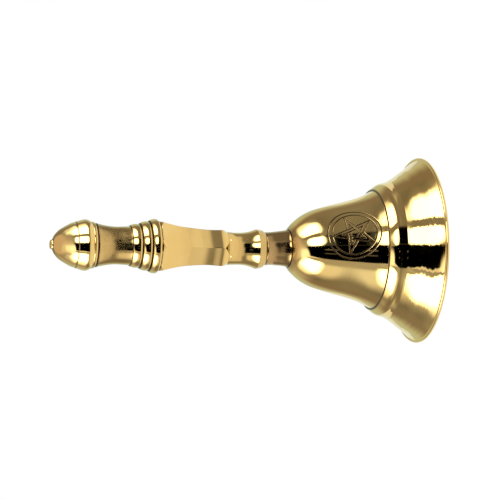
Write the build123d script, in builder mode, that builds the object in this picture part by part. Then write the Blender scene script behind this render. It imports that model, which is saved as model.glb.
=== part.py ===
"""Brass hand bell: a cast bell shell with a turned handle, clamped together by
a through rod, and a clapper that hangs on a swivelling clevis inside.

Millimetres.  The bell stands on its rim: +Z is up along the bell's axis, and
the origin is the centre of the rim plane.
"""
import math
import os

from build123d import *

os.makedirs("parts", exist_ok=True)

# ------------------------------------------------------------------ overall
TOTAL_H = 127.0          # rim plane to the tip of the finial
RIM_R = 31.4             # largest radius, at the rounded lip
LIP_LAND_IN = 28.9       # flat land the bell rests on, inner radius
LIP_LAND_OUT = 30.5      # and outer radius

# --------------------------------------------------------------- bell shell
SHELL_TOP = 46.3         # flat crown that the ferrule sits on
CROWN_R = 6.35           # radius of that flat
CROWN_UNDER = 43.6       # underside of the crown
BAND_TOP = 16.9          # step between the waist and the raised band
BAND_FOOT = 11.9         # where the raised band meets the flared lip

# waist and shoulder, outside: (radius, height)
FLANK = [(19.75, 17.0), (18.25, 20.0), (16.82, 24.0), (15.72, 28.0),
         (14.72, 32.0), (13.58, 36.0), (12.88, 38.0), (11.95, 40.0),
         (10.72, 42.0), (9.55, 43.5), (8.15, 45.0), (7.15, 45.8),
         (CROWN_R, SHELL_TOP)]
# raised band, outside
BAND = [(20.55, 16.75), (21.35, 16.05), (22.10, 14.70), (22.60, 13.30),
        (22.78, 12.20)]
# flared lip, outside
LIP = [(22.92, 11.70), (24.55, 9.00), (26.60, 6.10), (28.75, 3.10),
       (30.55, 1.05)]
# inside of the bell
INSIDE = [(28.30, 0.95), (26.35, 3.40), (24.30, 6.20), (22.10, 9.60),
          (20.10, 13.20), (18.05, 17.20), (16.55, 20.40), (15.05, 24.30),
          (13.85, 28.60), (12.80, 32.80), (11.75, 36.40), (10.55, 39.30),
          (8.95, 41.70), (7.10, 43.10), (5.90, CROWN_UNDER)]

# ------------------------------------------------------------- through rod
ROD_R = 2.5              # M5 rod
ROD_LOW = 39.4           # lower end, inside the crown nut
ROD_HIGH = 120.0         # upper end, inside the finial
CLEAR_R = 2.6            # clearance bore around the rod

# ----------------------------------------------------------------- ferrule
FERRULE_TOP = 54.7

# ------------------------------------------------------------- handle grip
GRIP_TOP = 112.1
HEX_CORNER_LOW = 69.7    # the hexagon's corners are turned away below this
HEX_CORNER_HIGH = 89.8   # and above this
# half width across flats of the hexagonal grip: (half width, height)
HEX_FLAT = [(5.35, 67.0), (5.77, 68.4), (5.94, 69.6), (5.92, 71.0),
            (5.82, 73.0), (5.82, 74.5), (5.90, 76.5), (6.17, 80.0),
            (6.60, 84.0), (7.20, 87.0), (7.93, 90.0), (8.38, 91.6)]

# ------------------------------------------------------------------ finial
FINIAL_BORE_TOP = 120.5

# ------------------------------------------------------- clapper suspension
WASHER_R, WASHER_T = 5.2, 0.8
SPRING_R, SPRING_T = 4.3, 0.9
NUT_AF = 8.0             # crown nut across flats
NUT_TOP = CROWN_UNDER - WASHER_T - SPRING_T
NUT_LOW = 36.3
NUT_FLOOR = 37.6         # inside floor that carries the swivel's head
SHANK_R = 1.25           # swivel shank
SHANK_HOLE_R = 1.30      # 0.05 running clearance
HEAD_R, HEAD_T = 2.1, 1.1
PIVOT_Z = 32.7           # axis of the hanger pin
PIN_R = 1.0
EYE_HOLE_R = 1.05        # 0.05 running clearance
EYE_R, EYE_T = 1.9, 2.0
FORK_GAP, FORK_W = 2.2, 5.6
FORK_R = 2.3
CLEVIS_TOP = 36.15
CLEVIS_ROOT = 34.9

# ----------------------------------------------------------------- clapper
CLAPPER_ROD_R = 1.3
BALL_R = 6.25
BALL_Z = 12.1
BALL_FLAT = 5.9          # flats above and below the ball, from its centre
ROD_END = BALL_Z - BALL_FLAT - 0.9   # lower end of the clapper rod


# ------------------------------------------------------------- bell shell
with BuildPart() as bell_shell:
    with BuildSketch(Plane.XZ) as shell_profile:
        with BuildLine():
            Spline(*FLANK)
            Line(FLANK[0], BAND[0])
            Spline(*BAND)
            Line(BAND[-1], LIP[0])
            Spline(*LIP)
            ThreePointArc(LIP[-1], (RIM_R, 0.50), (31.00, 0.06))
            Line((31.00, 0.06), (LIP_LAND_OUT, 0.0))
            Line((LIP_LAND_OUT, 0.0), (LIP_LAND_IN, 0.0))
            ThreePointArc((LIP_LAND_IN, 0.0), (28.40, 0.28), INSIDE[0])
            Spline(*INSIDE)
            Line(INSIDE[-1], (CLEAR_R, CROWN_UNDER))
            Line((CLEAR_R, CROWN_UNDER), (CLEAR_R, SHELL_TOP))
            Line((CLEAR_R, SHELL_TOP), FLANK[-1])
        make_face()
    revolve(axis=Axis.Z)
bell_shell.part.label = "bell_shell"

# ------------------------------------------------------------ neck ferrule
with BuildPart() as neck_ferrule:
    with BuildSketch(Plane.XZ):
        with BuildLine():
            Line((CLEAR_R, SHELL_TOP), (6.10, SHELL_TOP))
            Line((6.10, SHELL_TOP), (6.36, 46.50))
            Spline((6.36, 46.50), (6.12, 47.10), (5.94, 48.00),
                   (5.72, 50.00), (5.54, 52.00), (5.50, 54.30))
            Line((5.50, 54.30), (5.34, FERRULE_TOP))
            Line((5.34, FERRULE_TOP), (CLEAR_R, FERRULE_TOP))
            Line((CLEAR_R, FERRULE_TOP), (CLEAR_R, SHELL_TOP))
        make_face()
    revolve(axis=Axis.Z)
neck_ferrule.part.label = "neck_ferrule"

# ------------------------------------------------------------- handle grip
with BuildPart() as handle_grip:
    with BuildSketch(Plane.XZ):
        with BuildLine():
            # foot collar with its ridge, then the waist
            Line((CLEAR_R, FERRULE_TOP), (5.72, FERRULE_TOP))
            Spline((5.72, FERRULE_TOP), (6.14, 55.30), (6.42, 56.20),
                   (6.60, 57.45))
            Spline((6.60, 57.45), (6.10, 58.70), (5.68, 60.10),
                   (5.36, 62.20), (5.32, 64.40), (5.40, 66.20),
                   (5.50, 67.70))
            # turned-down corners at the lower end of the hexagon
            Line((5.50, 67.70), (6.95, HEX_CORNER_LOW))
            # envelope just outside the hexagon's corners
            Spline((6.95, HEX_CORNER_LOW), (6.90, 73.00), (6.98, 76.50),
                   (7.30, 80.00), (7.85, 84.00), (8.60, 87.00),
                   (9.30, HEX_CORNER_HIGH))
            Line((9.30, HEX_CORNER_HIGH), (8.30, 91.00))
            # three graduated beads
            Spline((8.30, 91.00), (8.84, 91.40), (8.98, 92.20),
                   (8.84, 93.10), (8.38, 93.98))
            Line((8.38, 93.98), (7.82, 94.05))
            Spline((7.82, 94.05), (8.10, 94.60), (8.14, 95.30),
                   (7.96, 96.20), (7.52, 97.10))
            Line((7.52, 97.10), (6.96, 97.20))
            Spline((6.96, 97.20), (7.18, 97.80), (7.22, 98.50),
                   (7.08, 99.50), (6.72, 100.40))
            Line((6.72, 100.40), (6.44, 100.55))
            # neck under the finial
            Spline((6.44, 100.55), (6.34, 101.60), (6.26, 103.00),
                   (6.20, 105.00), (6.32, 107.00), (6.62, 109.00),
                   (7.00, 110.80), (7.28, 111.80))
            Line((7.28, 111.80), (7.05, GRIP_TOP))
            Line((7.05, GRIP_TOP), (CLEAR_R, GRIP_TOP))
            Line((CLEAR_R, GRIP_TOP), (CLEAR_R, FERRULE_TOP))
        make_face()
    revolve(axis=Axis.Z)
    # three pairs of flats make the hexagon; a corner faces -Y
    for turn in (0, 60, 120):
        across = Plane(origin=(0, 0, 0),
                       x_dir=(math.cos(math.radians(turn)),
                              math.sin(math.radians(turn)), 0),
                       z_dir=(math.sin(math.radians(turn)),
                              -math.cos(math.radians(turn)), 0))
        with BuildSketch(across):
            with BuildLine():
                wide = 14.0
                low, high = HEX_FLAT[0], HEX_FLAT[-1]
                Spline(*HEX_FLAT)
                Polyline(high, (wide, high[1]), (wide, TOTAL_H),
                         (-wide, TOTAL_H), (-wide, high[1]),
                         (-high[0], high[1]))
                Spline(*[(-w, z) for (w, z) in reversed(HEX_FLAT)])
                Polyline((-low[0], low[1]), (-wide, low[1]), (-wide, 50.0),
                         (wide, 50.0), (wide, low[1]), low)
            make_face()
        extrude(amount=14.0, both=True, mode=Mode.INTERSECT)
handle_grip.part.label = "handle_grip"

# ------------------------------------------------------------ acorn finial
with BuildPart() as acorn_finial:
    with BuildSketch(Plane.XZ):
        with BuildLine():
            Line((0, GRIP_TOP), (7.05, GRIP_TOP))
            Line((7.05, GRIP_TOP), (7.48, 112.40))
            Spline((7.48, 112.40), (7.66, 112.90), (7.70, 113.35))
            Line((7.70, 113.35), (7.62, 113.48))
            Spline((7.62, 113.48), (7.98, 114.00), (8.30, 114.70),
                   (8.44, 115.40), (8.34, 116.10), (8.02, 117.00),
                   (7.80, 117.70))
            Line((7.80, 117.70), (7.68, 117.86))
            Spline((7.68, 117.86), (7.46, 119.00), (7.08, 120.10),
                   (6.58, 121.10), (6.08, 122.00), (5.50, 123.00),
                   (4.80, 124.00), (3.86, 124.95), (2.76, 125.75),
                   (1.62, 126.20))
            ThreePointArc((1.62, 126.20), (1.46, 126.72), (0.90, TOTAL_H))
            Line((0.90, TOTAL_H), (0, TOTAL_H))
            Line((0, TOTAL_H), (0, GRIP_TOP))
        make_face()
    revolve(axis=Axis.Z)
    # tapped blind hole for the rod
    with BuildSketch(Plane.XY.offset(GRIP_TOP)):
        Circle(ROD_R)
    extrude(amount=FINIAL_BORE_TOP - GRIP_TOP, mode=Mode.SUBTRACT)
acorn_finial.part.label = "acorn_finial"

# ----------------------------------------------------------------- tie rod
with BuildPart() as tie_rod:
    with BuildSketch(Plane.XY.offset(ROD_LOW)):
        Circle(ROD_R)
    extrude(amount=ROD_HIGH - ROD_LOW)
    chamfer(tie_rod.edges().filter_by(GeomType.CIRCLE), 0.3)
tie_rod.part.label = "tie_rod"

# ------------------------------------------------------------ crown washer
with BuildPart() as crown_washer:
    with BuildSketch(Plane.XY.offset(CROWN_UNDER - WASHER_T)):
        Circle(WASHER_R)
        Circle(ROD_R + 0.15, mode=Mode.SUBTRACT)
    extrude(amount=WASHER_T)
crown_washer.part.label = "crown_washer"

# ----------------------------------------------------------- spring washer
with BuildPart() as spring_washer:
    with BuildSketch(Plane.XY.offset(NUT_TOP)):
        Circle(SPRING_R)
        Circle(ROD_R + 0.15, mode=Mode.SUBTRACT)
        with Locations((SPRING_R - 0.8, 0)):
            Rectangle(3.0, 0.5, mode=Mode.SUBTRACT)
    extrude(amount=SPRING_T)
spring_washer.part.label = "spring_washer"

# -------------------------------------------------------------- crown nut
with BuildPart() as crown_nut:
    with BuildSketch(Plane.XY.offset(NUT_LOW)):
        RegularPolygon(NUT_AF / 2, 6, major_radius=False)
    extrude(amount=NUT_TOP - NUT_LOW)
    # the corners of the hexagon are turned off at both ends
    with BuildSketch(Plane.XZ):
        with BuildLine():
            Polyline((0, NUT_LOW), (3.95, NUT_LOW), (4.70, NUT_LOW + 0.45),
                     (4.70, NUT_TOP - 0.45), (3.95, NUT_TOP), (0, NUT_TOP),
                     (0, NUT_LOW))
        make_face()
    revolve(axis=Axis.Z, mode=Mode.INTERSECT)
    with BuildSketch(Plane.XY.offset(NUT_FLOOR)):
        Circle(ROD_R)
    extrude(amount=NUT_TOP - NUT_FLOOR, mode=Mode.SUBTRACT)
    with BuildSketch(Plane.XY.offset(NUT_LOW)):
        Circle(SHANK_HOLE_R)
    extrude(amount=NUT_FLOOR - NUT_LOW, mode=Mode.SUBTRACT)
crown_nut.part.label = "crown_nut"

# ----------------------------------------------------------- swivel clevis
with BuildPart() as swivel_clevis:
    # fork, seen along the pin
    with BuildSketch(Plane.XZ):
        with Locations((0, PIVOT_Z)):
            Circle(FORK_R)
        with Locations((0, (PIVOT_Z + CLEVIS_TOP) / 2)):
            Rectangle(2 * FORK_R, CLEVIS_TOP - PIVOT_Z)
    extrude(amount=FORK_W / 2, both=True)
    chamfer(swivel_clevis.faces().sort_by(Axis.Z)[-1].edges(), 0.35)
    # the slot the clapper's eye hangs in
    with BuildSketch(Plane.XY.offset(CLEVIS_ROOT)):
        Rectangle(3 * FORK_R, FORK_GAP)
    extrude(amount=-8.0, mode=Mode.SUBTRACT)
    # pin hole through both arms
    with BuildSketch(Plane.XZ):
        with Locations((0, PIVOT_Z)):
            Circle(PIN_R)
    extrude(amount=FORK_W, both=True, mode=Mode.SUBTRACT)
    # shank and the head that rests on the nut's floor
    with BuildSketch(Plane.XY.offset(CLEVIS_TOP - 0.2)):
        Circle(SHANK_R)
    extrude(amount=NUT_FLOOR + 0.05 - (CLEVIS_TOP - 0.2))
    with BuildSketch(Plane.XY.offset(NUT_FLOOR + 0.05)):
        Circle(HEAD_R)
    extrude(amount=HEAD_T)
swivel_clevis.part.label = "swivel_clevis"

# -------------------------------------------------------------- hanger pin
with BuildPart() as hanger_pin:
    with BuildSketch(Plane.XZ):
        with Locations((0, PIVOT_Z)):
            Circle(PIN_R)
    extrude(amount=FORK_W / 2, both=True)
    for side in (1, -1):
        with BuildSketch(Plane.XZ.offset(side * FORK_W / 2)):
            with Locations((0, PIVOT_Z)):
                Circle(1.5)
        extrude(amount=side * 0.55, taper=32)
hanger_pin.part.label = "hanger_pin"

# ------------------------------------------------------------- clapper rod
with BuildPart() as clapper_rod:
    # flat drilled eye
    with BuildSketch(Plane.XZ):
        with Locations((0, PIVOT_Z)):
            Circle(EYE_R)
        with Locations((0, PIVOT_Z - 1.6)):
            Rectangle(2 * CLAPPER_ROD_R, 3.2)
    extrude(amount=EYE_T / 2, both=True)
    # round rod through the ball, with the shoulder the ball is drawn up to
    with BuildSketch(Plane.XY.offset(PIVOT_Z - 2.55)):
        Circle(CLAPPER_ROD_R)
    extrude(amount=ROD_END - (PIVOT_Z - 2.55))
    with BuildSketch(Plane.XY.offset(BALL_Z + BALL_FLAT)):
        Circle(2.0)
    extrude(amount=0.9)
    with BuildSketch(Plane.XZ):
        with Locations((0, PIVOT_Z)):
            Circle(EYE_HOLE_R)
    extrude(amount=EYE_T, both=True, mode=Mode.SUBTRACT)
clapper_rod.part.label = "clapper_rod"

# ------------------------------------------------------------ clapper ball
with BuildPart() as clapper_ball:
    with BuildSketch(Plane.XZ):
        with BuildLine():
            edge = math.sqrt(BALL_R ** 2 - BALL_FLAT ** 2)
            Line((CLAPPER_ROD_R, BALL_Z - BALL_FLAT),
                 (edge, BALL_Z - BALL_FLAT))
            ThreePointArc((edge, BALL_Z - BALL_FLAT), (BALL_R, BALL_Z),
                          (edge, BALL_Z + BALL_FLAT))
            Line((edge, BALL_Z + BALL_FLAT),
                 (CLAPPER_ROD_R, BALL_Z + BALL_FLAT))
            Line((CLAPPER_ROD_R, BALL_Z + BALL_FLAT),
                 (CLAPPER_ROD_R, BALL_Z - BALL_FLAT))
        make_face()
    revolve(axis=Axis.Z)
clapper_ball.part.label = "clapper_ball"

# -------------------------------------------------------- clapper end nut
with BuildPart() as clapper_end_nut:
    seat = BALL_Z - BALL_FLAT
    with BuildSketch(Plane.XZ):
        with BuildLine():
            Line((0, seat), (2.05, seat))
            Line((2.05, seat), (2.05, seat - 0.7))
            ThreePointArc((2.05, seat - 0.7), (1.72, seat - 1.36),
                          (1.0, seat - 1.65))
            Line((1.0, seat - 1.65), (0, seat - 1.65))
            Line((0, seat - 1.65), (0, seat))
        make_face()
    revolve(axis=Axis.Z)
    with BuildSketch(Plane.XY.offset(seat)):
        Circle(CLAPPER_ROD_R)
    extrude(amount=ROD_END - seat, mode=Mode.SUBTRACT)
clapper_end_nut.part.label = "clapper_end_nut"

# ------------------------------------------------------------------ export
export_step(bell_shell.part, "parts/bell_shell.step")
export_step(neck_ferrule.part, "parts/neck_ferrule.step")
export_step(handle_grip.part, "parts/handle_grip.step")
export_step(acorn_finial.part, "parts/acorn_finial.step")
export_step(tie_rod.part, "parts/tie_rod.step")
export_step(crown_washer.part, "parts/crown_washer.step")
export_step(spring_washer.part, "parts/spring_washer.step")
export_step(crown_nut.part, "parts/crown_nut.step")
export_step(swivel_clevis.part, "parts/swivel_clevis.step")
export_step(hanger_pin.part, "parts/hanger_pin.step")
export_step(clapper_rod.part, "parts/clapper_rod.step")
export_step(clapper_ball.part, "parts/clapper_ball.step")
export_step(clapper_end_nut.part, "parts/clapper_end_nut.step")
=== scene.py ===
import math

import bpy
import numpy as np
from mathutils import Matrix, Vector


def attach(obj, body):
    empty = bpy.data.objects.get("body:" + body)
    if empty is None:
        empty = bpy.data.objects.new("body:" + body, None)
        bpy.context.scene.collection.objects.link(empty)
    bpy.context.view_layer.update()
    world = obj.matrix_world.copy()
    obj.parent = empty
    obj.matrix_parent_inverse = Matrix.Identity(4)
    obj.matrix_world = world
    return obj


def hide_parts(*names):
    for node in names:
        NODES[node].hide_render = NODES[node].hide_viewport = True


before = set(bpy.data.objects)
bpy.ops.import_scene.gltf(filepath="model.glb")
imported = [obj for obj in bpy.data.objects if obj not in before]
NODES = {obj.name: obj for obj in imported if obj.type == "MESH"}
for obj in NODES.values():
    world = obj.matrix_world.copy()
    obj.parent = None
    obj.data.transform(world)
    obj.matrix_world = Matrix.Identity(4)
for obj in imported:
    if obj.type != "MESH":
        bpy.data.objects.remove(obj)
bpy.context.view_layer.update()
MM = 0.001
scene = bpy.context.scene
scene.view_settings.view_transform = "Standard"
scene.view_settings.look = "None"

# --------------------------------------------------------------------------
# Dimensions shared with the CAD model, in millimetres: (radius, height)
# --------------------------------------------------------------------------
SHELL_TOP, CROWN_R, CROWN_UNDER, CLEAR_R = 46.3, 6.35, 43.6, 2.6
FLANK = [(19.75, 17.0), (18.25, 20.0), (16.82, 24.0), (15.72, 28.0),
         (14.72, 32.0), (13.58, 36.0), (12.88, 38.0), (11.95, 40.0),
         (10.72, 42.0), (9.55, 43.5), (8.15, 45.0), (7.15, 45.8),
         (CROWN_R, SHELL_TOP)]
BAND = [(20.40, 16.85), (21.02, 16.15), (21.76, 15.25), (22.33, 14.25),
        (22.63, 13.20), (22.93, 12.15)]
LIP = [(23.08, 11.62), (24.55, 9.00), (26.60, 6.10), (28.75, 3.10),
       (30.55, 1.05)]
INSIDE = [(28.30, 0.95), (26.35, 3.40), (24.30, 6.20), (22.10, 9.60),
          (20.10, 13.20), (18.05, 17.20), (16.55, 20.40), (15.05, 24.30),
          (13.85, 28.60), (12.80, 32.80), (11.75, 36.40), (10.55, 39.30),
          (8.95, 41.70), (7.10, 43.10), (5.90, CROWN_UNDER)]
FERRULE_TOP, GRIP_TOP, TOTAL_H = 54.7, 112.1, 127.0
HEX_FLAT = [(5.35, 67.0), (5.77, 68.4), (5.94, 69.6), (5.92, 71.0),
            (5.82, 73.0), (5.82, 74.5), (5.90, 76.5), (6.17, 80.0),
            (6.60, 84.0), (7.20, 87.0), (7.93, 90.0), (8.38, 91.6)]
EMBLEM_AZ, EMBLEM_Z, EMBLEM_WIDE, EMBLEM_TALL = math.radians(19.7), 27.5, 0.96, 1.04
BALL_R, BALL_Z, BALL_FLAT, CLAPPER_ROD_R = 6.25, 12.1, 5.9, 1.3


# --------------------------------------------------------------------------
# Curves
# --------------------------------------------------------------------------
def cubic(x, y, xs):
    """Natural cubic spline through (x, y), read at xs."""
    x, y = np.asarray(x, float), np.asarray(y, float)
    n = len(x)
    h = np.diff(x)
    a = np.zeros((n, n))
    b = np.zeros(n)
    a[0, 0] = a[-1, -1] = 1.0
    for i in range(1, n - 1):
        a[i, i - 1], a[i, i], a[i, i + 1] = h[i - 1], 2 * (h[i - 1] + h[i]), h[i]
        b[i] = 6 * ((y[i + 1] - y[i]) / h[i] - (y[i] - y[i - 1]) / h[i - 1])
    m = np.linalg.solve(a, b)
    i = np.clip(np.searchsorted(x, xs) - 1, 0, n - 2)
    t0, t1 = xs - x[i], x[i + 1] - xs
    return ((m[i] * t1 ** 3 + m[i + 1] * t0 ** 3) / (6 * h[i])
            + (y[i] / h[i] - m[i] * h[i] / 6) * t1
            + (y[i + 1] / h[i] - m[i + 1] * h[i] / 6) * t0)


def smooth(points, step=0.2):
    """Closely spaced points along the smooth curve through points."""
    p = np.array(points, float)
    s = np.concatenate([[0], np.cumsum(np.hypot(*np.diff(p, axis=0).T))])
    t = np.linspace(0, s[-1], max(3, int(math.ceil(s[-1] / step)) + 1))
    return np.stack([cubic(s, p[:, 0], t), cubic(s, p[:, 1], t)], 1)


def straight(a, b, step=0.4):
    n = max(2, int(math.ceil(math.dist(a, b) / step)) + 1)
    return np.linspace(a, b, n)


def arc(a, b, c, n=20):
    """Points of the circle from a through b to c."""
    (ax, ay), (bx, by), (cx, cy) = a, b, c
    d = 2 * (ax * (by - cy) + bx * (cy - ay) + cx * (ay - by))
    ux = ((ax**2 + ay**2) * (by - cy) + (bx**2 + by**2) * (cy - ay)
          + (cx**2 + cy**2) * (ay - by)) / d
    uy = ((ax**2 + ay**2) * (cx - bx) + (bx**2 + by**2) * (ax - cx)
          + (cx**2 + cy**2) * (bx - ax)) / d
    r = math.hypot(ax - ux, ay - uy)
    t0, t1, t2 = (math.atan2(y - uy, x - ux) for x, y in (a, b, c))
    turn = (t2 - t0) % (2 * math.pi)
    if (t1 - t0) % (2 * math.pi) > turn:
        turn -= 2 * math.pi
    t = t0 + np.linspace(0, turn, n)
    return np.stack([ux + r * np.cos(t), uy + r * np.sin(t)], 1)


def join(*runs):
    """One line from several, without the doubled points."""
    out = [runs[0]]
    for run in runs[1:]:
        out.append(run[1:] if np.allclose(out[-1][-1], run[0], atol=1e-6) else run)
    return np.concatenate(out)


def soften(line, reach=0.08, angle=20.0, steps=5):
    """Rounds each corner sharper than angle, starting reach before it."""
    s = np.concatenate([[0], np.cumsum(np.hypot(*np.diff(line, axis=0).T))])
    d = np.diff(line, axis=0)
    d /= np.maximum(np.hypot(*d.T), 1e-12)[:, None]
    turn = np.degrees(np.arccos(np.clip((d[:-1] * d[1:]).sum(1), -1, 1)))
    corners = [i + 1 for i in np.where(turn > angle)[0]]

    def at(t):
        return np.array([np.interp(t, s, line[:, 0]), np.interp(t, s, line[:, 1])])

    keep = np.ones(len(line), bool)
    extra = []
    for n, i in enumerate(corners):
        before = s[i] - (s[corners[n - 1]] if n else 0)
        after = (s[corners[n + 1]] if n + 1 < len(corners) else s[-1]) - s[i]
        r = min(reach, 0.45 * before, 0.45 * after)
        keep &= ~((s > s[i] - r) & (s < s[i] + r))
        p0, p1, p2 = at(s[i] - r), line[i], at(s[i] + r)
        for t in np.linspace(0, 1, steps):
            extra.append((s[i] - r + 2 * r * t,
                          (1 - t) ** 2 * p0 + 2 * t * (1 - t) * p1 + t * t * p2))
    rows = [(s[i], line[i]) for i in np.where(keep)[0]] + extra
    rows.sort(key=lambda q: q[0])
    out = [rows[0][1]]
    for _, p in rows[1:]:
        if math.dist(p, out[-1]) > 1e-4:
            out.append(p)
    return np.array(out)


def even_angles(n):
    return np.linspace(0, 2 * math.pi, n, endpoint=False)


# --------------------------------------------------------------------------
# Meshes
# --------------------------------------------------------------------------
def finish_mesh(name, co, quads, tris=(), sharp=32.0):
    mesh = bpy.data.meshes.new(name)
    faces = [tuple(q) for q in np.asarray(quads).tolist()] + [tuple(t) for t in tris]
    mesh.from_pydata(co.tolist(), [], faces)
    mesh.update()
    # outward faces: the signed volume is positive
    v = np.array(co)
    q = np.asarray(quads)
    if len(q):
        a, b, c, d = v[q[:, 0]], v[q[:, 1]], v[q[:, 2]], v[q[:, 3]]
        volume = (np.einsum("ij,ij->i", a, np.cross(b, c)).sum()
                  + np.einsum("ij,ij->i", a, np.cross(c, d)).sum())
        if volume < 0:
            mesh.flip_normals()
    mesh.shade_smooth()
    mesh.set_sharp_from_angle(angle=math.radians(sharp))
    obj = bpy.data.objects.new(name, mesh)
    scene.collection.objects.link(obj)
    return obj


def wander(r, z):
    """How far the waist stands off the axis along X: the handle was never quite true there."""
    knots = [46.3, 49.0, 52.0, 54.7, 56.5, 60.0, 66.0, 70.0, 75.0, 81.0]
    shift = [0.0, 0.06, 0.16, 0.33, 0.43, 0.42, 0.40, 0.28, 0.12, 0.0]
    z = np.asarray(z, float)
    return -np.where((z > 46.3) & (z < 81.0) & (r > 4.0), cubic(knots, shift, np.clip(z, 46.3, 81.0)), 0.0)


def lathe(name, line, phis, closed, reshape=None, sharp=32.0, offset=None):
    """Turns a profile of (radius, height) in mm about Z. An open profile starts and ends on the axis.
    reshape(r, z, phi) returns the moved r and z of the whole grid, and offset(r, z) its shift along X."""
    line = np.asarray(line, float)
    phis = np.asarray(phis, float)
    poles = [] if closed else [0, len(line) - 1]
    body = line if closed else line[1:-1]
    r = np.repeat(body[:, :1], len(phis), 1)
    z = np.repeat(body[:, 1:], len(phis), 1)
    f = np.repeat(phis[None, :], len(body), 0)
    if reshape is not None:
        r, z = reshape(r, z, f)
    across = offset(r, z) if offset is not None else 0.0
    co = np.stack([r * np.sin(f) + across, -r * np.cos(f), z], -1).reshape(-1, 3) * MM
    n, m = len(body), len(phis)
    i = np.arange(n if closed else n - 1)[:, None]
    j = np.arange(m)[None, :]
    i1, j1 = (i + 1) % n, (j + 1) % m
    quads = np.stack([i * m + j, i * m + j1, i1 * m + j1, i1 * m + j], -1).reshape(-1, 4)
    tris = []
    if not closed:
        start, end = len(co), len(co) + 1
        co = np.concatenate([co, [[0, 0, line[0, 1] * MM], [0, 0, line[-1, 1] * MM]]])
        for k in range(m):
            k1 = (k + 1) % m
            tris.append((start, k1, k))
            tris.append((end, (n - 1) * m + k, (n - 1) * m + k1))
    return finish_mesh(name, co, quads, tris, sharp)


def attribute(obj, name, values):
    a = obj.data.attributes.new(name, "FLOAT", "POINT")
    a.data.foreach_set("value", np.asarray(values, np.float32))


def vertices(obj):
    co = np.zeros(len(obj.data.vertices) * 3, np.float32)
    obj.data.vertices.foreach_get("co", co)
    co = co.reshape(-1, 3) / MM
    return np.hypot(co[:, 0], co[:, 1]), co[:, 2], np.arctan2(co[:, 0], -co[:, 1])


# --------------------------------------------------------------------------
# The engraved emblem: an interlaced five-pointed star in two rings
# --------------------------------------------------------------------------
RING_OUT, RING_IN, STAR_R, RIBBON = 8.55, 7.20, 7.05, 0.98
STAR_TURN = math.radians(95.0)
GROOVE_HALF, GROOVE_DEPTH = 0.23, 0.09


def star_segments():
    tips = [np.array([math.cos(STAR_TURN + k * 2 * math.pi / 5),
                      math.sin(STAR_TURN + k * 2 * math.pi / 5)]) * STAR_R
            for k in range(5)]
    lines = []                                   # (point, direction, inward normal)
    for k in range(5):
        a, b = tips[k], tips[(k + 2) % 5]
        d = (b - a) / np.linalg.norm(b - a)
        n = np.array([-d[1], d[0]])
        if np.dot(n, -a) < 0:
            n = -n
        lines.append((a, d, n))

    def meet(p, d, q, e):
        """How far along d from p the line through q along e is met."""
        m = np.array([[d[0], -e[0]], [d[1], -e[1]]])
        return float(np.linalg.solve(m, q - p)[0])

    out = []
    for k in range(5):
        a, d, n = lines[k]
        for inset in (0.0, RIBBON):
            p = a + n * inset
            # the ribbons that share this chord's two tips
            ends = []
            for other in ((k + 3) % 5, (k + 2) % 5):
                q, e, m = lines[other]
                ends.append(meet(p, d, q + m * inset, e))
            t0, t1 = min(ends), max(ends)
            # this ribbon passes under its neighbour near its first tip
            q, e, m = lines[(k + 4) % 5]
            u0 = meet(p, d, q, e)
            u1 = meet(p, d, q + m * RIBBON, e)
            u0, u1 = min(u0, u1), max(u0, u1)
            out.append((p + d * t0, p + d * (u0 - 0.05)))
            out.append((p + d * (u1 + 0.05), p + d * t1))
    return out


def emblem_depth(u, v):
    """How deep the engraving is at (u, v), mm, on the plane it was cut through."""
    dist = np.minimum(np.abs(np.hypot(u, v) - RING_OUT), np.abs(np.hypot(u, v) - RING_IN))
    for a, b in star_segments():
        ab = b - a
        t = np.clip(((u - a[0]) * ab[0] + (v - a[1]) * ab[1]) / np.dot(ab, ab), 0, 1)
        dist = np.minimum(dist, np.hypot(u - a[0] - t * ab[0], v - a[1] - t * ab[1]))
    x = np.clip(1 - dist / GROOVE_HALF, 0, 1)
    return GROOVE_DEPTH * x * x * (3 - 2 * x)


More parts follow.
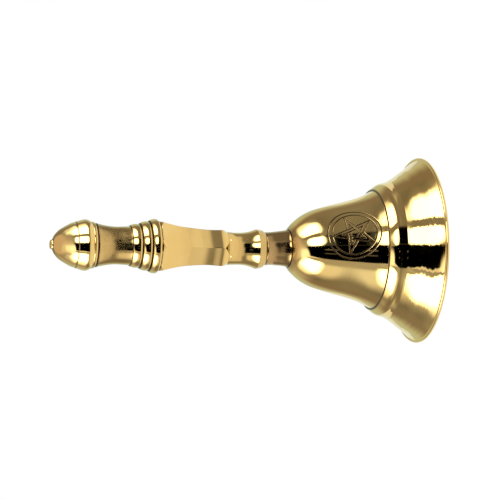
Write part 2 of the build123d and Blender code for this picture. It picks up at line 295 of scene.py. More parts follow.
# --------------------------------------------------------------------------
# Node helpers
# --------------------------------------------------------------------------
class Nodes:
    def __init__(self, tree):
        self.tree = tree
        tree.nodes.clear()

    def new(self, kind, **inputs):
        node = self.tree.nodes.new(kind)
        for key, value in inputs.items():
            if key.startswith("_"):
                setattr(node, key[1:], value)
        return node

    def link(self, a, b):
        self.tree.links.new(a, b)

    def put(self, socket, value):
        if isinstance(value, bpy.types.NodeSocket):
            self.link(value, socket)
        else:
            socket.default_value = value

    def math(self, op, a, b=None, c=None, clamp=False):
        n = self.new("ShaderNodeMath", _operation=op, _use_clamp=clamp)
        self.put(n.inputs[0], a)
        if b is not None:
            self.put(n.inputs[1], b)
        if c is not None:
            self.put(n.inputs[2], c)
        return n.outputs[0]

    def step(self, value, low, high, a=0.0, b=1.0):
        n = self.new("ShaderNodeMapRange", _interpolation_type="SMOOTHSTEP", _clamp=True)
        self.put(n.inputs["Value"], value)
        self.put(n.inputs["From Min"], low)
        self.put(n.inputs["From Max"], high)
        self.put(n.inputs["To Min"], a)
        self.put(n.inputs["To Max"], b)
        return n.outputs["Result"]

    def ramp(self, value, low, high, a=0.0, b=1.0):
        n = self.new("ShaderNodeMapRange", _clamp=True)
        self.put(n.inputs["Value"], value)
        self.put(n.inputs["From Min"], low)
        self.put(n.inputs["From Max"], high)
        self.put(n.inputs["To Min"], a)
        self.put(n.inputs["To Max"], b)
        return n.outputs["Result"]

    def mix(self, fac, a, b, blend="MIX"):
        n = self.new("ShaderNodeMix", _data_type="RGBA", _blend_type=blend)
        self.put(n.inputs["Factor"], fac)
        for socket, value in ((n.inputs[6], a), (n.inputs[7], b)):
            if isinstance(value, tuple) and len(value) == 3:
                value = value + (1.0,)
            self.put(socket, value)
        return n.outputs[2]

    def noise(self, vector, scale, detail=2.0, rough=0.5, distortion=0.0):
        n = self.new("ShaderNodeTexNoise")
        self.put(n.inputs["Vector"], vector)
        n.inputs["Scale"].default_value = scale
        n.inputs["Detail"].default_value = detail
        n.inputs["Roughness"].default_value = rough
        n.inputs["Distortion"].default_value = distortion
        return n.outputs["Fac"]

    def scaled(self, vector, x, y, z):
        n = self.new("ShaderNodeMapping")
        self.put(n.inputs["Vector"], vector)
        n.inputs["Scale"].default_value = (x, y, z)
        return n.outputs["Vector"]


def material(name, build):
    m = bpy.data.materials.new(name)
    m.use_nodes = True
    n = Nodes(m.node_tree)
    out = n.new("ShaderNodeOutputMaterial")
    shader = n.new("ShaderNodeBsdfPrincipled")
    n.link(shader.outputs[0], out.inputs["Surface"])
    build(n, shader)
    return m


def brass(name, light=(0.800, 0.575, 0.215), warm=(0.770, 0.520, 0.178),
          dull=(0.240, 0.140, 0.055), rough=0.06, rings=0.35, lip_rings=0.0, engraved=False):
    """Polished brass: turned rings, fine scratches, a warmer cast in broad patches, and, where the piece's own
    attribute marks hollows and seams, old tarnish and polish together with painted shade that darkens them."""

    def build(n, shader):
        at = n.new("ShaderNodeTexCoord").outputs["Object"]
        broad = n.noise(at, 55.0, 3.0, 0.55)
        cloud = n.noise(at, 260.0, 4.0, 0.6)
        ring = n.noise(n.scaled(at, 35, 35, 2300), 1.0, 3.0, 0.65)
        ring_wide = n.noise(n.scaled(at, 26, 26, 760), 1.0, 2.0, 0.55)
        scratch = n.noise(n.scaled(at, 900, 5200, 1500), 1.0, 3.0, 0.7)
        pits = n.noise(at, 2600.0, 2.0, 0.5)
        colour = n.mix(n.step(broad, 0.38, 0.66), light, warm)
        colour = n.mix(n.step(cloud, 0.58, 0.80, 0.0, 0.30), colour, warm)
        # painted shade with tarnish: the piece's marked hollows and seams are dulled and darkened
        a = n.new("ShaderNodeAttribute", _attribute_name="recess")
        recess = n.math("MULTIPLY", a.outputs["Fac"],
                        n.step(cloud, 0.25, 0.65, 0.65, 1.0), clamp=True)
        colour = n.mix(recess, colour, dull)
        # painted shade: the deepest seams and crevices are darkened almost to black
        colour = n.mix(n.step(a.outputs["Fac"], 0.62, 0.92), colour, (0.050, 0.028, 0.014))
        r = n.math("ADD", n.step(cloud, 0.40, 0.75, rough * 0.7, rough * 1.35),
                   n.step(scratch, 0.56, 0.80, 0.0, rough * 0.8))
        r = n.math("ADD", r, n.step(pits, 0.68, 0.80, 0.0, 0.12))
        r = n.math("ADD", r, n.math("MULTIPLY", recess, 0.28))
        if engraved:
            # the engraved lines are darkened almost to black: dark tarnish in the cut, and painted shade in the
            # grooves
            cut = n.new("ShaderNodeAttribute", _attribute_name="cut").outputs["Fac"]
            colour = n.mix(cut, colour, (0.050, 0.028, 0.014))
            r = n.math("ADD", r, n.math("MULTIPLY", cut, 0.34))
        n.link(colour, shader.inputs["Base Color"])
        n.link(r, shader.inputs["Roughness"])
        shader.inputs["Metallic"].default_value = 1.0
        shader.inputs["Specular Tint"].default_value = (0.86, 0.98, 0.96, 1.0)
        # turned rings and fine scratches in the surface
        height = n.math("ADD", n.math("MULTIPLY", ring, 0.45 * rings),
                        n.math("MULTIPLY", ring_wide, rings))
        height = n.math("ADD", height, n.math("MULTIPLY", scratch, 0.06))
        height = n.math("ADD", height, n.math("MULTIPLY", broad, 0.35))
        bump = n.new("ShaderNodeBump")
        if lip_rings:
            # on the flared lip each polished ring leans a little its own way around the bell
            place = n.new("ShaderNodeSeparateXYZ")
            n.link(at, place.inputs[0])
            x, y, z = place.outputs
            lean = n.noise(n.scaled(at, 26, 26, 1150), 1.0, 3.0, 0.72)
            lean = n.math("MULTIPLY", n.math("SUBTRACT", lean, 0.5),
                          n.step(z, 0.0105, 0.0130, lip_rings, 0.05 * lip_rings))
            round_ = n.new("ShaderNodeCombineXYZ")
            n.link(n.math("MULTIPLY", y, -1.0), round_.inputs[0])
            n.link(x, round_.inputs[1])
            unit = n.new("ShaderNodeVectorMath", _operation="NORMALIZE")
            n.link(round_.outputs[0], unit.inputs[0])
            push = n.new("ShaderNodeVectorMath", _operation="SCALE")
            n.link(unit.outputs[0], push.inputs[0])
            n.link(lean, push.inputs["Scale"])
            total = n.new("ShaderNodeVectorMath", _operation="ADD")
            n.link(n.new("ShaderNodeNewGeometry").outputs["Normal"], total.inputs[0])
            n.link(push.outputs[0], total.inputs[1])
            n.link(total.outputs[0], bump.inputs["Normal"])
        bump.inputs["Strength"].default_value = 1.0
        bump.inputs["Distance"].default_value = 0.00001
        n.link(height, bump.inputs["Height"])
        n.link(bump.outputs[0], shader.inputs["Normal"])

    return material(name, build)


def inner_brass(name):
    """The inside of the bell: turned on the lathe and left, so it is satin, with rings and brown tarnish."""

    def build(n, shader):
        at = n.new("ShaderNodeTexCoord").outputs["Object"]
        z = n.new("ShaderNodeSeparateXYZ")
        n.link(at, z.inputs[0])
        ring = n.noise(n.scaled(at, 30, 30, 1500), 1.0, 3.0, 0.7)
        cloud = n.noise(at, 95.0, 5.0, 0.6)
        stain = n.noise(at, 240.0, 4.0, 0.65, 0.4)
        colour = n.mix(n.step(cloud, 0.35, 0.70), (0.66, 0.44, 0.16), (0.52, 0.32, 0.115))
        colour = n.mix(n.step(stain, 0.55, 0.78, 0.0, 0.55), colour, (0.30, 0.17, 0.07))
        # darker towards the crown
        colour = n.mix(n.step(z.outputs[2], 0.022, 0.044, 0.0, 0.45), colour, (0.25, 0.15, 0.065))
        n.link(colour, shader.inputs["Base Color"])
        n.link(n.math("ADD", n.step(ring, 0.3, 0.8, 0.26, 0.42), n.step(stain, 0.5, 0.8, 0.0, 0.15)),
               shader.inputs["Roughness"])
        shader.inputs["Metallic"].default_value = 1.0
        bump = n.new("ShaderNodeBump")
        bump.inputs["Strength"].default_value = 0.6
        bump.inputs["Distance"].default_value = 0.00003
        n.link(n.math("ADD", ring, n.math("MULTIPLY", cloud, 0.6)), bump.inputs["Height"])
        n.link(bump.outputs[0], shader.inputs["Normal"])

    return material(name, build)


def steel(name, tone=(0.56, 0.555, 0.55), rough=0.26, along=(1500, 1500, 60), rust=0.35):
    """Plain steel hardware: drawn or machined lines, dull plating, a little brown staining."""

    def build(n, shader):
        at = n.new("ShaderNodeTexCoord").outputs["Object"]
        line = n.noise(n.scaled(at, *along), 1.0, 3.0, 0.65)
        cloud = n.noise(at, 420.0, 4.0, 0.6)
        spots = n.noise(at, 1400.0, 3.0, 0.6)
        dark = tuple(c * 0.72 for c in tone)
        colour = n.mix(n.step(cloud, 0.38, 0.68), tone, dark)
        colour = n.mix(n.step(spots, 0.62, 0.78, 0.0, rust), colour, (0.22, 0.13, 0.075))
        n.link(colour, shader.inputs["Base Color"])
        n.link(n.math("ADD", n.step(line, 0.3, 0.75, rough * 0.75, rough * 1.25),
                      n.step(spots, 0.60, 0.80, 0.0, 0.2)), shader.inputs["Roughness"])
        shader.inputs["Metallic"].default_value = 1.0
        bump = n.new("ShaderNodeBump")
        bump.inputs["Strength"].default_value = 0.6
        bump.inputs["Distance"].default_value = 0.000012
        n.link(n.math("ADD", line, n.math("MULTIPLY", spots, 0.5)), bump.inputs["Height"])
        n.link(bump.outputs[0], shader.inputs["Normal"])

    return material(name, build)


POLISHED = brass("brass_polished_shell", lip_rings=0.09, engraved=True)
POLISHED_GRIP = brass("brass_polished_grip", rough=0.075)
POLISHED_FINIAL = brass("brass_polished_finial", rough=0.07)
FERRULE_BRASS = brass("brass_ferrule", light=(0.50, 0.33, 0.135), warm=(0.42, 0.26, 0.100), rough=0.12)
INNER = inner_brass("brass_inside")
HARDWARE_BRASS = brass("brass_hardware", light=(0.70, 0.48, 0.18), warm=(0.64, 0.40, 0.14),
                       rough=0.24)
BALL_BRASS = brass("brass_clapper_ball", light=(0.74, 0.50, 0.18), warm=(0.66, 0.42, 0.14), rough=0.17)
STEEL_ROD = steel("steel_rod")
STEEL_PLATED = steel("steel_plated", tone=(0.62, 0.62, 0.60), rough=0.32, along=(600, 600, 600))
STEEL_CLEVIS = steel("steel_clevis", tone=(0.52, 0.515, 0.51), rough=0.24, along=(500, 1800, 1500))


def dress(obj, node, body, *materials):
    for m in materials:
        obj.data.materials.append(m)
    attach(obj, body)
    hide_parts(node)
    return obj


def bumpfield(values, centres, width):
    """1 at each of centres, falling to 0 over width."""
    out = np.zeros_like(values)
    for c in centres:
        out = np.maximum(out, np.clip(1 - np.abs(values - c) / width, 0, 1))
    return out * out * (3 - 2 * out)


# --------------------------------------------------------------------------
# Bell shell
# --------------------------------------------------------------------------
def make_shell():
    fine = 0.085
    flank = smooth(FLANK, 0.03)
    low, high = EMBLEM_Z - 9.2, EMBLEM_Z + 9.2
    part_a = flank[flank[:, 1] < low]
    part_b = flank[(flank[:, 1] >= low) & (flank[:, 1] <= high)]
    part_c = flank[flank[:, 1] > high]

    def thin(run, step):
        s = np.concatenate([[0], np.cumsum(np.hypot(*np.diff(run, axis=0).T))])
        t = np.linspace(0, s[-1], max(2, int(math.ceil(s[-1] / step)) + 1))
        return np.stack([np.interp(t, s, run[:, 0]), np.interp(t, s, run[:, 1])], 1)

    flank = np.concatenate([thin(part_a, 0.25), thin(part_b, fine), thin(part_c, 0.22)])
    band, lip, inside = smooth(BAND, 0.15), smooth(LIP, 0.25), smooth(INSIDE, 0.45)
    outer = join(np.array([[CLEAR_R, SHELL_TOP]]), flank[::-1], band, lip,
                 arc(LIP[-1], (31.4, 0.50), (31.0, 0.06), 9),
                 np.array([[30.5, 0.0]]), np.array([[28.9, 0.0]]),
                 arc((28.9, 0.0), (28.4, 0.28), INSIDE[0], 7),
                 inside, np.array([[CLEAR_R, CROWN_UNDER]]))
    outer = soften(outer, 0.12, 18.0)
    # column angles: close together over the emblem
    reach = math.radians(39)
    start, end = EMBLEM_AZ - reach, EMBLEM_AZ + reach
    dense = np.linspace(start, end, int(2 * reach * 15.6 / fine))
    rest = np.linspace(end, start + 2 * math.pi, 150)[1:-1]
    phis = np.concatenate([dense, rest])

    tangent = np.gradient(outer, axis=0)
    tangent /= np.hypot(*tangent.T)[:, None]
    normal = np.stack([tangent[:, 1], -tangent[:, 0]], 1)
    on_flank = ((outer[:, 1] > 17.6) & (outer[:, 1] < 39.0)
                & (outer[:, 0] > np.interp(outer[:, 1], [p[1] for p in INSIDE],
                                           [p[0] for p in INSIDE]) + 0.8))
    facing = np.sign((normal * np.array([1.0, 0.0])).sum(1))
    normal[facing < 0] *= -1
    # height along the flank from the emblem's centre
    rows = np.where(on_flank)[0]
    s = np.zeros(len(outer))
    s[rows] = np.concatenate([[0], np.cumsum(np.hypot(*np.diff(outer[rows], axis=0).T))])
    zero = np.interp(EMBLEM_Z, outer[rows][::-1, 1], s[rows][::-1])
    v = zero - s
    depth_grid = np.zeros((len(outer), len(phis)))
    az = (phis + math.pi) % (2 * math.pi) - math.pi - EMBLEM_AZ
    cols = np.where(np.abs(az) < reach)[0]
    uu = outer[rows, 0][:, None] * np.sin(az[cols])[None, :]
    vv = np.repeat(v[rows][:, None], len(cols), 1)
    depth_grid[np.ix_(rows, cols)] = emblem_depth(uu / EMBLEM_WIDE, vv / EMBLEM_TALL)

    def reshape(r, z, f):
        return (r - depth_grid * normal[:, 0][:, None],
                z - depth_grid * normal[:, 1][:, None])

    shell = lathe("bell_shell_visual", outer, phis, True, reshape)
    r, z, _ = vertices(shell)
    # painted shade with some tarnish: the seam above the band, the corner between band and lip, and the crown
    # around the neck are darkened
    recess = bumpfield(z, [16.95], 0.35) * (r < 20.9) * 0.9
    recess = np.maximum(recess, bumpfield(z, [11.9], 0.26) * (np.abs(r - 23.0) < 0.5) * 0.9)
    recess = np.maximum(recess, np.maximum(bumpfield(z, [46.3], 1.8) * 0.55,
                                            bumpfield(z, [46.3], 0.3) * 0.95) * (r < 9.0))
    attribute(shell, "recess", recess)
    attribute(shell, "cut", np.clip(5.0 * np.sqrt(depth_grid / GROOVE_DEPTH), 0, 1).reshape(-1))
    dress(shell, "bell_shell", "bell", POLISHED, INNER)
    # the inside is its own finish
    line_in = np.interp(z, [p[1] for p in INSIDE], [p[0] for p in INSIDE])
    inner_vertex = ((r < line_in + 0.45) & (z > 0.6) & (z < 44.2)) | ((z > 43.0) & (z < 46.2) & (r < 5.0))
    loops = np.zeros(len(shell.data.polygons) * 4, np.int32)
    shell.data.loops.foreach_get("vertex_index", loops)
    inner_face = inner_vertex[loops].reshape(-1, 4).all(1)
    shell.data.polygons.foreach_set("material_index", inner_face.astype(np.int32))
    shell.data.update()
    return shell


# --------------------------------------------------------------------------
# Neck ferrule
# --------------------------------------------------------------------------
def make_ferrule():
    line = join(np.array([[CLEAR_R, SHELL_TOP], [6.10, SHELL_TOP]]), np.array([[6.36, 46.50]]),
                smooth([(6.36, 46.50), (6.12, 47.10), (5.94, 48.00), (5.72, 50.00),
                        (5.54, 52.00), (5.50, 54.30)], 0.12),
                np.array([[5.34, FERRULE_TOP], [CLEAR_R, FERRULE_TOP]]))
    obj = lathe("neck_ferrule_visual", soften(line, 0.08), even_angles(192), True, offset=wander)
    r, z, _ = vertices(obj)
    # painted shade with some tarnish: darker at the ferrule's joints with the bell and the grip
    attribute(obj, "recess", np.maximum(bumpfield(z, [46.4], 0.7), bumpfield(z, [54.7], 0.8)) * 0.85)
    return dress(obj, "neck_ferrule", "bell", FERRULE_BRASS)


# --------------------------------------------------------------------------
# Handle grip
# --------------------------------------------------------------------------
def make_grip():
    line = join(
        np.array([[CLEAR_R, FERRULE_TOP], [5.72, FERRULE_TOP]]),
        smooth([(5.72, 54.70), (6.14, 55.30), (6.42, 56.20), (6.60, 57.45)], 0.1),
        smooth([(6.60, 57.45), (6.10, 58.70), (5.68, 60.10), (5.36, 62.20), (5.32, 64.40),
                (5.40, 66.20), (5.50, 67.70)], 0.15),
        straight((5.50, 67.70), (6.95, 69.70), 0.07),
        smooth([(6.95, 69.70), (6.90, 73.00), (6.98, 76.50), (7.30, 80.00), (7.85, 84.00),
                (8.60, 87.00), (9.30, 89.80)], 0.28),
        straight((9.30, 89.80), (8.30, 91.00), 0.06),
        smooth([(8.30, 91.00), (8.84, 91.40), (8.98, 92.20), (8.84, 93.10), (8.38, 93.98)], 0.1),
        straight((8.38, 93.98), (7.82, 94.05), 0.1),
        smooth([(7.82, 94.05), (8.10, 94.60), (8.14, 95.30), (7.96, 96.20), (7.52, 97.10)], 0.1),
        straight((7.52, 97.10), (6.96, 97.20), 0.1),
        smooth([(6.96, 97.20), (7.18, 97.80), (7.22, 98.50), (7.08, 99.50), (6.72, 100.40)], 0.1),
        straight((6.72, 100.40), (6.44, 100.55), 0.1),
        smooth([(6.44, 100.55), (6.34, 101.60), (6.26, 103.00), (6.20, 105.00), (6.32, 107.00),
                (6.62, 109.00), (7.00, 110.80), (7.28, 111.80)], 0.2),
        np.array([[7.05, GRIP_TOP], [CLEAR_R, GRIP_TOP]]))
    line = soften(line, 0.09, 18.0)
    # columns close together at the six corners
    half = np.radians([0.0, 0.25, 0.5, 0.8, 1.15, 1.6, 2.2, 3.0, 4.0, 5.2, 6.6, 8.2, 10.0, 12.0,
                       14.0, 16.2, 18.6, 21.0, 23.4, 25.8, 28.0])
    sector = np.concatenate([half, [math.radians(30)], math.radians(60) - half[1:][::-1]])
    phis = np.concatenate([sector + k * math.pi / 3 for k in range(6)])
    hz = np.array([p[1] for p in HEX_FLAT])
    hw = np.array([p[0] for p in HEX_FLAT])

    def soft_min(a, b, k):
        h = np.clip(0.5 + 0.5 * (b - a) / k, 0, 1)
        return b * (1 - h) + a * h - k * h * (1 - h)

    def reshape(r, z, f):
        across = cubic(hz, hw, np.clip(z, hz[0], hz[-1]))
        m = np.mod(f, math.pi / 3) - math.pi / 6
        face = across / np.cos(m)
        next_face = across / np.cos(math.pi / 3 - np.abs(m))
        hexed = soft_min(face, next_face, 0.16)
        cut = (z > 67.0) & (z < 91.6) & (r > 4)
        near = soft_min(hexed, r, 0.05)
        return np.where(cut & (hexed < r + 0.05), near, r), z

    obj = lathe("handle_grip_visual", line, phis, True, reshape, sharp=24.0, offset=wander)
    r, z, f = vertices(obj)
    # painted shade with some tarnish: the notches between the beads, the collar above the ferrule, the joints and
    # the foot of the hex are darkened
    recess = bumpfield(z, [91.00, 94.02, 97.15, 100.50], 0.38) * 0.95
    on_neck = np.clip((z - 101.0) / 2.0, 0, 1) * (z < 112.2)
    # the neck above the beads is darkened, painted shade with some tarnish, more on the +X side
    recess = np.maximum(recess, on_neck * (0.40 + 0.16 * np.sin(f)))
    recess = np.maximum(recess, (z < 57.4) * (z > 54.7) * 0.38)
    recess = np.maximum(recess, np.maximum(bumpfield(z, [54.7], 0.5), bumpfield(z, [112.1], 1.05)))
    recess = np.maximum(recess, bumpfield(z, [67.7], 0.35) * 0.35)
    attribute(obj, "recess", recess)
    return dress(obj, "handle_grip", "bell", POLISHED_GRIP)


# --------------------------------------------------------------------------
# Acorn finial
# --------------------------------------------------------------------------
def make_finial():
    line = join(
        np.array([[0.0, 112.11], [2.55, 112.11], [7.05, 112.11], [7.48, 112.40]]),
        smooth([(7.48, 112.40), (7.66, 112.90), (7.70, 113.35)], 0.12),
        np.array([[7.62, 113.48]]),
        smooth([(7.62, 113.48), (7.98, 114.00), (8.30, 114.70), (8.44, 115.40), (8.36, 116.10),
                (8.10, 117.00), (7.82, 117.90), (7.64, 118.55)], 0.1),
        np.array([[7.46, 118.72]]),
        smooth([(7.46, 118.72), (7.40, 119.15), (7.08, 120.10), (6.58, 121.10), (6.08, 122.00),
                (5.50, 123.00), (4.80, 124.00), (3.86, 124.95), (2.76, 125.75), (1.62, 126.20)], 0.15),
        arc((1.62, 126.20), (1.46, 126.72), (0.90, 127.0), 10),
        np.array([[0.5, 127.0], [0.0, 127.0]]))
    obj = lathe("acorn_finial_visual", soften(line, 0.08, 18.0), even_angles(216), False)
    r, z, _ = vertices(obj)
    # painted shade with some tarnish: the finial is darkened at its seams and at the joint with the grip
    recess = bumpfield(z, [112.1], 0.75)
    recess = np.maximum(recess, bumpfield(z, [113.45], 0.20) * 0.4)
    recess = np.maximum(recess, bumpfield(z, [118.70], 0.24) * 0.95)
    recess = np.maximum(recess, bumpfield(z, [126.2], 0.25) * 0.8)
    attribute(obj, "recess", recess)
    return dress(obj, "acorn_finial", "bell", POLISHED_FINIAL)


# --------------------------------------------------------------------------
# Clapper
# --------------------------------------------------------------------------
def make_ball():
    edge = math.sqrt(BALL_R ** 2 - BALL_FLAT ** 2)
    line = join(np.array([[CLAPPER_ROD_R, BALL_Z - BALL_FLAT], [edge, BALL_Z - BALL_FLAT]]),
                arc((edge, BALL_Z - BALL_FLAT), (BALL_R, BALL_Z), (edge, BALL_Z + BALL_FLAT), 72),
                np.array([[CLAPPER_ROD_R, BALL_Z + BALL_FLAT]]))
    line = soften(line, 0.15, 18.0)

    def reshape(r, z, f):
        # a shallow flattened belt where the ball has struck the wall for years
        belt = np.clip(1 - ((z - BALL_Z - 1.2) / 1.5) ** 2, 0, 1) * (r > 5.5)
        return r - 0.045 * belt * (0.75 + 0.25 * np.sin(3 * f) * np.sin(7 * f + 1)), z

    obj = lathe("clapper_ball_visual", line, even_angles(128), True, reshape)
    r, z, _ = vertices(obj)
    # painted shade with some tarnish around both flat faces where the rod passes, and light tarnish everywhere but
    # the struck belt
    attribute(obj, "recess", np.maximum(bumpfield(z, [BALL_Z - BALL_FLAT, BALL_Z + BALL_FLAT], 1.6) * 0.7,
                                        0.18 * (np.abs(z - BALL_Z - 1.2) > 1.4)))
    return dress(obj, "clapper_ball", "clapper", BALL_BRASS)


def make_end_nut():
    seat = BALL_Z - BALL_FLAT
    line = join(np.array([[0.0, seat - 0.001], [1.35, seat - 0.001], [2.05, seat - 0.001]]),
                straight((2.05, seat), (2.05, seat - 0.7), 0.12),
                arc((2.05, seat - 0.7), (1.72, seat - 1.36), (1.0, seat - 1.65), 10),
                np.array([[0.5, seat - 1.65], [0.0, seat - 1.65]]))
    obj = lathe("clapper_end_nut_visual", soften(line, 0.08), even_angles(96), False)
    return dress(obj, "clapper_end_nut", "clapper", HARDWARE_BRASS)


make_shell()
make_ferrule()
make_grip()
make_finial()
make_ball()
make_end_nut()

# CAD nodes that stay as they are, with their own finishes
for node, finish in (("tie_rod", STEEL_ROD), ("crown_washer", STEEL_PLATED),
                     ("spring_washer", STEEL_PLATED), ("crown_nut", HARDWARE_BRASS),
                     ("swivel_clevis", STEEL_CLEVIS), ("hanger_pin", STEEL_ROD),
                     ("clapper_rod", STEEL_ROD)):
    obj = NODES[node]
    if not obj.material_slots:
        obj.data.materials.append(finish)
    for s in obj.material_slots:
        s.material = finish


# --------------------------------------------------------------------------
# Floor, light and camera
# --------------------------------------------------------------------------
TENT_R, TENT_Z = 0.200, 0.030


def make_floor():
    """A pale paper sheet that fills the bottom of the light tent. It glows instead of being lit, so only a faint
    shadow falls on it, and painted shade dims its front and sides.
    """
    turns = np.linspace(0, 2 * math.pi, 128, endpoint=False)
    reach = math.sqrt(TENT_R ** 2 - TENT_Z ** 2) - 0.0003
    mesh = bpy.data.meshes.new("studio_floor")
    mesh.from_pydata([(reach * math.cos(t), reach * math.sin(t), -0.0001) for t in turns], [], [tuple(range(128))])
    mesh.update()
    if mesh.polygons[0].normal.z < 0:
        mesh.flip_normals()
    obj = bpy.data.objects.new("studio_floor", mesh)
    scene.collection.objects.link(obj)

    def build(n, shader):
        at = n.new("ShaderNodeTexCoord").outputs["Object"]
        place = n.new("ShaderNodeSeparateXYZ")
        n.link(at, place.inputs[0])
        front = n.math("MINIMUM", place.outputs[1], 0.0)
        away = n.math("SQRT", n.math("ADD", n.math("MULTIPLY", place.outputs[0], place.outputs[0]),
                                     n.math("MULTIPLY", front, front)))
        grain = n.noise(at, 180.0, 3.0, 0.5)
        # painted shade: the glowing paper dims and warms with distance in front and at the sides, and stays even
        # behind
        paper = n.mix(n.step(away, 0.110, 0.200), (0.94, 0.935, 0.925), (0.88, 0.84, 0.81))
        paper = n.mix(n.step(grain, 0.3, 0.7, 0.0, 0.03), paper, (0.9, 0.89, 0.88))
        shader.inputs["Base Color"].default_value = (0.10, 0.10, 0.10, 1.0)
        shader.inputs["Roughness"].default_value = 0.9
        shader.inputs["Specular IOR Level"].default_value = 0.0
        n.link(paper, shader.inputs["Emission Color"])
        shader.inputs["Emission Strength"].default_value = 1.0

    obj.data.materials.append(material("studio_paper", build))


def make_tent():
    """The small light tent around the bell, as its polished faces show it: large soft lights left
    and right, a small one beside the dark opening in front, and paper below."""
    rings, turns = 48, 96
    co, faces = [], []
    for i in range(1, rings):
        t = math.pi * i / rings
        for j in range(turns):
            f = 2 * math.pi * j / turns
            co.append((TENT_R * math.sin(t) * math.cos(f), TENT_R * math.sin(t) * math.sin(f),
                       TENT_Z + TENT_R * math.cos(t)))
    co += [(0, 0, TENT_Z + TENT_R), (0, 0, TENT_Z - TENT_R)]
    for j in range(turns):
        k = (j + 1) % turns
        faces.append((j, k, len(co) - 2))
        faces.append(((rings - 2) * turns + k, (rings - 2) * turns + j, len(co) - 1))
        for i in range(rings - 2):
            faces.append((i * turns + k, i * turns + j, (i + 1) * turns + j, (i + 1) * turns + k))
    mesh = bpy.data.meshes.new("studio_tent")
    mesh.from_pydata(co, [], faces)
    mesh.update()
    obj = bpy.data.objects.new("studio_tent", mesh)
    scene.collection.objects.link(obj)
    obj.visible_camera = False
    obj.visible_shadow = False
    obj.visible_transmission = False

    mat = bpy.data.materials.new("studio_tent_cloth")
    mat.use_nodes = True
    mat.cycles.emission_sampling = "NONE"
    n = Nodes(mat.node_tree)
    out = n.new("ShaderNodeOutputMaterial")
    d = n.new("ShaderNodeSeparateXYZ")
    n.link(n.new("ShaderNodeTexCoord").outputs["Object"], d.inputs[0])
    x, y, z = d.outputs
    deg = 180.0 / math.pi
    # azimuth from the front (-Y), positive towards +X, and elevation, in degrees, about the middle
    az = n.math("MULTIPLY", n.math("ARCTAN2", x, n.math("MULTIPLY", y, -1.0)), deg)
    el = n.math("MULTIPLY", n.math("ARCSINE", n.math("DIVIDE", n.math("SUBTRACT", z, TENT_Z), TENT_R * 1.0001),
                                   clamp=False), deg)
    side = n.math("ABSOLUTE", az)

    def window(v, low, low_soft, high, high_soft):
        return n.math("MULTIPLY", n.step(v, low - low_soft, low + low_soft),
                      n.step(v, high - high_soft, high + high_soft, 1.0, 0.0))

    def panel(azimuths, elevations):
        return n.math("MULTIPLY", window(az, *azimuths), window(el, *elevations))

    def cloud(centre, half, power, soft, slope=0.0):
        """A rounded soft patch; slope raises its middle line per degree of azimuth."""
        u = n.math("ABSOLUTE", n.math("MULTIPLY", n.math("SUBTRACT", az, centre[0]), 1.0 / half[0]))
        line = n.math("ADD", n.math("MULTIPLY", n.math("SUBTRACT", az, centre[0]), slope), centre[1])
        v = n.math("ABSOLUTE", n.math("MULTIPLY", n.math("SUBTRACT", el, line), 1.0 / half[1]))
        total = n.math("ADD", n.math("POWER", u, power), n.math("POWER", v, power))
        return n.step(n.math("POWER", total, 1.0 / power), 1.0 - soft, 1.0 + soft, 1.0, 0.0)

    def paint(base, mask, strength, tint=(1.0, 1.0, 1.0)):
        return n.mix(mask, base, tuple(v * strength for v in tint))

    room, brown = (1.0, 0.97, 0.95), (1.0, 0.86, 0.80)
    # the walls, from below up
    low = n.ramp(el, -8, 14, 0.34, 0.24)
    high = n.ramp(el, 14, 30, 0.0, 0.24)
    c = n.mix(1.0, (1.0, 0.96, 0.94), n.math("ADD", low, high), "MULTIPLY")
    c = paint(c, n.step(side, 100, 116), 0.31, brown)
    c = paint(c, panel((-150, 10, -112, 8), (18, 8, 60, 12)), 0.55, room)
    c = paint(c, n.math("MULTIPLY", n.step(side, 120, 142), n.step(el, 46, 22)), 0.73, (0.96, 1.0, 0.84))
    # paper below, in front
    c = paint(c, panel((-52, 9, 50, 9), (-40, 5, 0, 3)), 0.72, (1.0, 0.95, 0.93))
    c = paint(c, panel((-102, 14, 98, 14), (-40, 5, -4, 2)), 0.88, (1.0, 0.96, 0.93))
    # overhead
    c = paint(c, n.step(el, 59, 67), 0.74, (1.0, 0.84, 0.78))
    # left: the large light, its spill below and beside it, and its reach over the top
    c = paint(c, n.math("MULTIPLY", cloud((-61, 15), (24, 17), 2.2, 0.62), n.step(el, 0.5, 9)), 1.06)
    c = paint(c, panel((-44, 4, -28, 1.2), (6, 4, 60, 4)), 0.52, room)
    c = paint(c, panel((-35, 1.5, -27.5, 1.0), (28, 5, 60, 4)), 1.05, room)
    c = paint(c, cloud((-28, 66), (42, 9), 2.0, 0.6), 0.95, (1.0, 0.95, 0.92))
    c = paint(c, cloud((-31, 56.5), (28, 8), 2.4, 0.40, 0.12), 1.7)
    c = paint(c, cloud((-78, 39), (27, 14), 2.2, 0.35), 1.7)
    c = paint(c, n.math("MULTIPLY", cloud((-62, 37.8), (25.4, 16.9), 3.0, 0.28), n.step(az, -39, -42)), 5.0)
    # right: the large light
    c = paint(c, cloud((86, 40), (27, 13), 2.2, 0.35), 1.7)
    c = paint(c, cloud((71, 38), (22.5, 16.8), 3.0, 0.28), 5.0)
    # the dark opening, and the small light beside it
    top = n.math("ADD", n.math("MULTIPLY", az, 0.25), 56.0)
    dark = n.math("MULTIPLY", window(az, -28.5, 0.8, 9.5, 0.8),
                  n.math("MULTIPLY", n.step(el, -1.0, 3.0),
                         n.step(n.math("SUBTRACT", el, top), -2.5, 2.5, 1.0, 0.0)))
    c = paint(c, dark, 0.0)
    c = paint(c, panel((9.5, 0.8, 38, 3), (-1, 3, 24, 3)), 0.0)
    c = paint(c, panel((9.5, 0.8, 38, 3), (14, 2, 24, 3)), 0.085, (0.8, 1.0, 1.1))
    c = paint(c, n.math("MULTIPLY", cloud((26, 37.5), (16.4, 16.6), 2.6, 0.20), n.step(az, 8.8, 10.4)), 5.0)
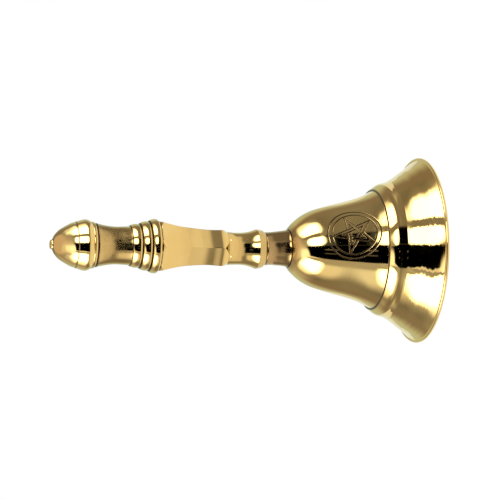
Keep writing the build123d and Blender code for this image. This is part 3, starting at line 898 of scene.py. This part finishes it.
    # the tent's seams between the lights
    seam = n.math("ABSOLUTE", n.math("SUBTRACT", az, n.math("ADD", n.math("MULTIPLY", el, 0.22), 37.3)))
    c = paint(c, n.math("MULTIPLY", n.step(seam, 5.4, 7.8, 1.0, 0.0), window(el, 24, 4, 58, 4)), 0.30, room)
    seam = n.math("ABSOLUTE", n.math("SUBTRACT", az, n.math("ADD", n.math("MULTIPLY", el, -0.30), -23.3)))
    c = paint(c, n.math("MULTIPLY", n.step(seam, 1.6, 3.2, 1.0, 0.0), window(el, 28, 4, 54, 3)), 0.42, room)
    c = paint(c, panel((-3.5, 0.7, -1.0, 0.7), (13, 2, 22, 2)), 0.22)
    c = paint(c, panel((-14, 0.7, -11.5, 0.7), (13, 2, 22, 2)), 0.12)
    glow = n.new("ShaderNodeEmission")
    n.link(c, glow.inputs["Color"])
    glow.inputs["Strength"].default_value = 1.0
    n.link(glow.outputs[0], out.inputs["Surface"])
    obj.data.materials.append(mat)


def make_world():
    """Plain white behind the tent."""
    world = bpy.data.worlds.new("studio")
    scene.world = world
    world.use_nodes = True
    n = Nodes(world.node_tree)
    out = n.new("ShaderNodeOutputWorld")
    plain = n.new("ShaderNodeBackground")
    plain.inputs["Color"].default_value = (1, 1, 1, 1)
    plain.inputs["Strength"].default_value = 1.0
    n.link(plain.outputs[0], out.inputs["Surface"])


def make_lights():
    # a broad, weak overhead light that only softens the shadows
    light = bpy.data.lights.new("overhead_soft", "AREA")
    light.shape = "RECTANGLE"
    light.size, light.size_y = 1.2, 1.2
    light.energy = 1.2
    obj = bpy.data.objects.new("overhead_soft", light)
    obj.location = (0, 0.1, 1.1)
    obj.visible_glossy = False
    obj.visible_camera = False
    scene.collection.objects.link(obj)


def make_camera():
    tilt, roll = math.radians(15.285), math.radians(0.925)
    far, look = 0.8032, Vector((0, 0, 0.059318))
    back = Vector((0, -math.cos(tilt), math.sin(tilt)))
    right0 = Vector((0, -math.sin(tilt), -math.cos(tilt)))
    up0 = Vector((1, 0, 0))
    right = math.cos(roll) * right0 + math.sin(roll) * up0
    up = -math.sin(roll) * right0 + math.cos(roll) * up0
    place = look + back * far - up * 0.00077
    cam = bpy.data.cameras.new("camera")
    cam.sensor_width = 36.0
    cam.lens = 36.0 * 2408.0 / 500.0
    cam.clip_start, cam.clip_end = 0.01, 50.0
    obj = bpy.data.objects.new("camera", cam)
    m = Matrix((right, up, back)).transposed().to_4x4()
    m.translation = place
    obj.matrix_world = m
    scene.collection.objects.link(obj)
    scene.camera = obj


make_floor()
make_tent()
make_world()
make_lights()
make_camera()


def plain(box):
    return [[float(v) for v in corner] for corner in box]
